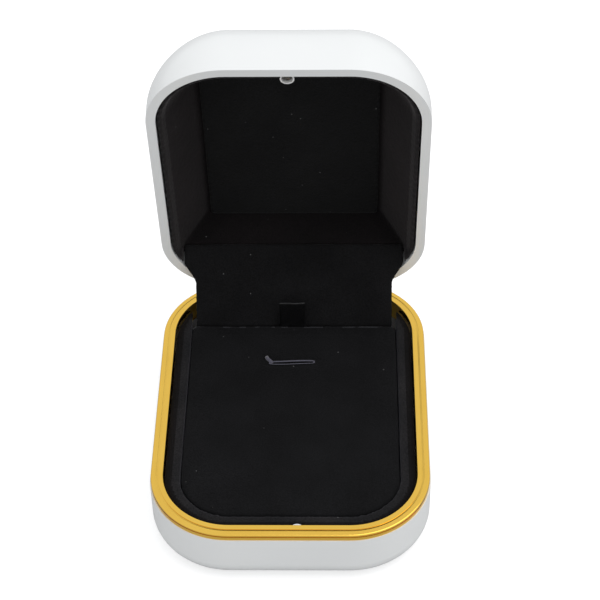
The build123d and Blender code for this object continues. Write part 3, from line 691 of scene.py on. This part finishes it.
# --- Ribbon tab ---------------------------------------------------------------------------
# A short loop of black satin ribbon, glued behind the pad's foam, to lift the pad out. Its
# folded top catches the light, and its weft shows as fine lines across it.
RIBBON_PLY = 0.2 * mm
RIBBON_ROWS, FOLD_STEPS, RIBBON_COLUMNS = 20, 8, 15
RIBBON_DROOP, RIBBON_RIPPLE = 0.08 * mm, 0.05 * mm
SATIN = (0.0012, 0.0012, 0.0013, 1.0)
SATIN_LIGHT = (0.0032, 0.0032, 0.0035, 1.0)


def satin_finish():
    material, tree, shader, place = new_finish(
        "black_satin", Roughness=0.27, Specular_IOR_Level=0.5, Sheen_Weight=0.02, Sheen_Roughness=0.3)
    weft = add_node(tree, "ShaderNodeTexWave", bands_direction="Z")
    weft.inputs["Scale"].default_value = 900.0
    weft.inputs["Distortion"].default_value = 2.0
    tint = add_node(tree, "ShaderNodeMix", data_type="RGBA")
    tint.inputs["A"].default_value, tint.inputs["B"].default_value = SATIN, SATIN_LIGHT
    bump = add_node(tree, "ShaderNodeBump")
    bump.inputs["Distance"].default_value = 0.03 * mm
    tree.links.new(place, weft.inputs["Vector"])
    tree.links.new(weft.outputs["Color"], tint.inputs["Factor"])
    tree.links.new(tint.outputs["Result"], shader.inputs["Base Color"])
    tree.links.new(weft.outputs["Color"], bump.inputs["Height"])
    tree.links.new(bump.outputs["Normal"], shader.inputs["Normal"])
    return material


def ribbon_tab():
    low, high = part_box("lift_ribbon")
    depth = high.y - low.y
    fold = depth / 2 - RIBBON_PLY / 2
    middle = (low.y + high.y) / 2
    top = high.z - fold - RIBBON_PLY / 2
    front = low.y + RIBBON_PLY / 2
    line = [(front, low.z + (top - low.z) * k / RIBBON_ROWS) for k in range(RIBBON_ROWS + 1)]
    for step in range(1, FOLD_STEPS + 1):
        turn = math.radians(180 * step / FOLD_STEPS)
        line.append((middle - fold * math.cos(turn), top + fold * math.sin(turn)))
    line += [(high.y - RIBBON_PLY / 2, z) for _, z in reversed(line[:RIBBON_ROWS])]
    columns = RIBBON_COLUMNS
    verts, faces = [], []
    for y, z in line:
        for c in range(columns):
            x = low.x + (high.x - low.x) * c / (columns - 1)
            lift = max(0.0, (z - low.z) / (high.z - low.z))
            droop = -RIBBON_DROOP * lift * (1 + math.sin(c * 0.9)) / 2
            verts.append((x, y + RIBBON_RIPPLE * lift * math.sin(c * 0.55), z + droop))
    for r in range(len(line) - 1):
        for c in range(columns - 1):
            a = r * columns + c
            faces.append((a, a + 1, a + columns + 1, a + columns))
    tab = new_piece("satin_tab", verts, faces)
    tab.data.materials.append(satin_finish())
    ply = tab.modifiers.new("ply", "SOLIDIFY")
    ply.thickness, ply.offset = RIBBON_PLY, 0.0
    applied(tab)
    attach(tab, "pad")
    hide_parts("lift_ribbon")


ribbon_tab()

# --- Hinge --------------------------------------------------------------------------------
# A concealed leaf hinge of nickel-plated steel: two leaves with knuckles, a pin with headed
# ends, four small screws, and a spring blade that snaps the lid open or shut.
nickel_steel = skin_finish(
    "nickel_steel", (0.62, 0.60, 0.57, 1.0), (0.52, 0.50, 0.47, 1.0), 0.28, 0.18, 1800.0, 250.0,
    0.006 * mm, stretch=(0.08, 1.0, 1.0), Metallic=1.0)
zinc_screw = skin_finish(
    "zinc_screw", (0.60, 0.62, 0.65, 1.0), (0.48, 0.50, 0.54, 1.0), 0.32, 0.22, 3000.0, 500.0,
    0.01 * mm, Metallic=1.0)
spring_steel = skin_finish(
    "spring_steel", (0.42, 0.42, 0.44, 1.0), (0.30, 0.30, 0.33, 1.0), 0.26, 0.20, 2600.0, 200.0,
    0.006 * mm, stretch=(1.0, 1.0, 0.1), Metallic=1.0)
for node in ("hinge_base_leaf", "hinge_lid_leaf", "hinge_pin"):
    dress(node, nickel_steel)
for node in ("hinge_base_screws", "hinge_lid_screws"):
    dress(node, zinc_screw)
dress("snap_spring", spring_steel)


# --- Hinge flap ---------------------------------------------------------------------------
# A strip of black velvet on a thin backing. It is glued down behind the pad and to the fold
# of the lid's back lining. The real flap folds into the bay behind the pad when the lid shuts;
# here it is built in its open shape only.
FLAP_THICKNESS = 0.7 * mm
FLAP_SIDE_INSET = 8.5 * mm
FLAP_SHOULDER_INSET = 5.5 * mm
FLAP_FOLD_INSET = 5.75 * mm
FLAP_STRAIGHT_RISE = 9.5 * mm
FLAP_SHOULDER_RISE = 15.0 * mm
FLAP_BEND_BELOW = 0.3 * mm
FLAP_EASE, FLAP_EASE_SPAN = 0.35 * mm, 2.2 * mm
FLAP_RAG, FLAP_RAG_SPACING = 0.12 * mm, 0.8 * mm
FLAP_BELLY, FLAP_BELLY_SPACING = 0.25 * mm, 11 * mm
FLAP_ROWS, FLAP_COLUMNS = 70, 90
FLAP_PILE = (0.0048, 0.0047, 0.005, 1.0)
FLAP_BRUSHED = (0.0072, 0.007, 0.0075, 1.0)


def smooth_step(low, high, value):
    t = min(1.0, max(0.0, (value - low) / (high - low)))
    return t * t * (3 - 2 * t)


def flap_half_width(z, pad_top, fold_z, half_box):
    narrow = half_box - FLAP_SIDE_INSET
    wide = half_box - FLAP_SHOULDER_INSET
    shoulder = pad_top + FLAP_SHOULDER_RISE
    if z <= shoulder:
        return narrow + (wide - narrow) * smooth_step(pad_top + FLAP_STRAIGHT_RISE, shoulder, z)
    return wide + (half_box - FLAP_FOLD_INSET - wide) * (z - shoulder) / (fold_z - shoulder)


def flap():
    low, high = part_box("hinge_flap")
    pad_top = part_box("pad_velvet")[1].z
    half_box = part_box("trim_ring")[1].x
    front = low.y + FLAP_THICKNESS / 2
    bend = Vector((front, pad_top - FLAP_BEND_BELOW))
    fold = Vector((high.y - FLAP_THICKNESS / 2, high.z))
    foot = Vector((front, low.z))
    rise = (bend - foot).length
    slope = (fold - bend).length
    length = rise + slope
    verts, faces = [], []
    for r in range(FLAP_ROWS + 1):
        along = length * r / FLAP_ROWS
        if along < rise:
            spot = foot.lerp(bend, along / rise)
        else:
            spot = bend.lerp(fold, (along - rise) / slope)
        ease = FLAP_EASE * math.exp(-(((along - rise) / FLAP_EASE_SPAN) ** 2))
        half = flap_half_width(spot.y, pad_top, fold.y, half_box)
        for c in range(FLAP_COLUMNS + 1):
            x = half * (2 * c / FLAP_COLUMNS - 1)
            edge = FLAP_RAG * noise.noise(Vector((0, along, math.copysign(9.0, x))) / FLAP_RAG_SPACING)
            near_edge = smooth_step(0.9, 1.0, abs(x) / half)
            belly = FLAP_BELLY * noise.noise(Vector((x, along, 0)) / FLAP_BELLY_SPACING)
            verts.append((x + edge * near_edge, spot.x + ease + belly, spot.y))
    wide = FLAP_COLUMNS + 1
    for r in range(FLAP_ROWS):
        for c in range(FLAP_COLUMNS):
            a = r * wide + c
            faces.append((a, a + 1, a + wide + 1, a + wide))
    strip = new_piece("velvet_flap", verts, faces)
    strip.data.materials.append(velvet_finish(
        "flap_velvet", FLAP_PILE, FLAP_BRUSHED, 0.05, (1.0, 0.97, 0.97, 1.0), 0.12))
    thick = strip.modifiers.new("thick", "SOLIDIFY")
    thick.thickness, thick.offset = FLAP_THICKNESS, 0.0
    applied(strip)
    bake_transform(strip)
    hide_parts("hinge_flap")


# --- Lid lining ---------------------------------------------------------------------------
# Thin board formed to a pocket whose sides lean inwards, covered with black velvet and
# pressed into the lid; a strip along its rim is painted paler as a highlight. The panel at its
# bottom is separate.
LINING_PILE = (0.0048, 0.0041, 0.0043, 1.0)
LINING_BRUSHED = (0.0080, 0.0064, 0.0068, 1.0)
# painted highlight: the paler velvet of the strip along the lid's rim
LIT_EDGE_PILE = (0.0088, 0.0080, 0.0083, 1.0)
LIT_EDGE_BRUSHED = (0.0135, 0.0118, 0.0122, 1.0)
LIT_EDGE_WIDTH = 2.1 * mm
LID_OPEN = math.radians(78)
PANEL_PILE = (0.0050, 0.0050, 0.0052, 1.0)
PANEL_BRUSHED = (0.0068, 0.0068, 0.0070, 1.0)
lining_velvet = velvet_finish(
    "lining_velvet", LINING_PILE, LINING_BRUSHED, 0.08, (1.0, 0.92, 0.94, 1.0), 0.05)
panel_velvet = velvet_finish(
    "panel_velvet", PANEL_PILE, PANEL_BRUSHED, 0.05, (1.0, 1.0, 1.0, 1.0), 0.12)
lining = covered("lid_lining", "velvet_lining", "lid", lining_velvet, 3, 0.05 * mm, 7.0)


def lit_rim_edge(lining):
    """Paints the strip beside the lid's rim, where the velvet is rolled over, paler as a highlight."""
    lining.data.materials.append(velvet_finish(
        "lit_edge_velvet", LIT_EDGE_PILE, LIT_EDGE_BRUSHED, 0.12, (1.0, 0.94, 0.95, 1.0), 0.05))
    inward = Vector((0, math.sin(LID_OPEN), math.cos(LID_OPEN)))
    rim = min(v.co.dot(inward) for v in lining.data.vertices)
    for face in lining.data.polygons:
        # faces near the rim take the paler velvet, painted as a highlight
        if face.center.dot(inward) - rim < LIT_EDGE_WIDTH:
            face.material_index = 1


lit_rim_edge(lining)
covered("lid_panel", "velvet_panel", "lid", panel_velvet, 10, 0.05 * mm, 11.0)
flap()

# --- Lamp in the lid's lip ----------------------------------------------------------------
# A clear lamp in a silvered tube, set in the middle of the lid's front lip. The tube's finish
# is duller and less metallic than polished chrome, to stay pale beside the black velvet.
silver_bezel = skin_finish(
    "silver_bezel", (0.93, 0.92, 0.91, 1.0), (0.86, 0.85, 0.84, 1.0), 0.35, 0.28, 3000.0, 500.0,
    0.002 * mm, Metallic=0.3)
dress("lamp_bezel", silver_bezel)


def lamp_glass():
    material, tree, shader, place = new_finish(
        "clear_lamp", Transmission_Weight=0.85, IOR=1.5)
    body = add_node(tree, "ShaderNodeTexNoise")
    body.inputs["Scale"].default_value = 900.0
    tint = add_node(tree, "ShaderNodeMix", data_type="RGBA")
    tint.inputs["A"].default_value = (0.30, 0.27, 0.22, 1.0)
    tint.inputs["B"].default_value = (0.22, 0.20, 0.17, 1.0)
    gloss = add_node(tree, "ShaderNodeMapRange")
    gloss.inputs["To Min"].default_value, gloss.inputs["To Max"].default_value = 0.04, 0.12
    tree.links.new(place, body.inputs["Vector"])
    tree.links.new(body.outputs["Fac"], tint.inputs["Factor"])
    tree.links.new(body.outputs["Fac"], gloss.inputs["Value"])
    tree.links.new(tint.outputs["Result"], shader.inputs["Base Color"])
    tree.links.new(gloss.outputs["Result"], shader.inputs["Roughness"])
    return material


dress("lamp", lamp_glass())

# --- Lamp circuit -------------------------------------------------------------------------
# Hidden between the lining and the lid's top: a black moulded holder, a small green board, a
# button cell under a sprung clip, and the lamp's two covered leads.
black_plastic = skin_finish(
    "black_plastic", (0.020, 0.020, 0.021, 1.0), (0.014, 0.014, 0.015, 1.0), 0.45, 0.35, 1600.0,
    120.0, 0.01 * mm)
cell_steel = skin_finish(
    "cell_steel", (0.66, 0.66, 0.65, 1.0), (0.58, 0.58, 0.57, 1.0), 0.22, 0.15, 2200.0, 150.0,
    0.004 * mm, Metallic=1.0)
lead_cover = skin_finish(
    "lead_cover", (0.33, 0.018, 0.015, 1.0), (0.27, 0.014, 0.012, 1.0), 0.4, 0.35, 3000.0, 300.0,
    0.004 * mm)
dress("lamp_holder", black_plastic)
dress("button_cell", cell_steel)
dress("cell_clip", spring_steel)
dress("lamp_leads", lead_cover)


def board_finish():
    """Green solder mask over straight tinned tracks."""
    material, tree, shader, place = new_finish("circuit_board", Coat_Weight=0.3, Coat_Roughness=0.2)
    tracks = add_node(tree, "ShaderNodeTexBrick")
    tracks.inputs["Scale"].default_value = 120.0
    tracks.inputs["Mortar Size"].default_value = 0.03
    tracks.inputs["Color1"].default_value = (0.01, 0.11, 0.035, 1.0)
    tracks.inputs["Color2"].default_value = (0.012, 0.13, 0.04, 1.0)
    tracks.inputs["Mortar"].default_value = (0.03, 0.24, 0.09, 1.0)
    gloss = add_node(tree, "ShaderNodeMapRange")
    gloss.inputs["To Min"].default_value, gloss.inputs["To Max"].default_value = 0.45, 0.3
    bump = add_node(tree, "ShaderNodeBump")
    bump.inputs["Distance"].default_value = 0.03 * mm
    tree.links.new(place, tracks.inputs["Vector"])
    tree.links.new(tracks.outputs["Color"], shader.inputs["Base Color"])
    tree.links.new(tracks.outputs["Fac"], gloss.inputs["Value"])
    tree.links.new(gloss.outputs["Result"], shader.inputs["Roughness"])
    tree.links.new(tracks.outputs["Fac"], bump.inputs["Height"])
    tree.links.new(bump.outputs["Normal"], shader.inputs["Normal"])
    return material


dress("lamp_board", board_finish())
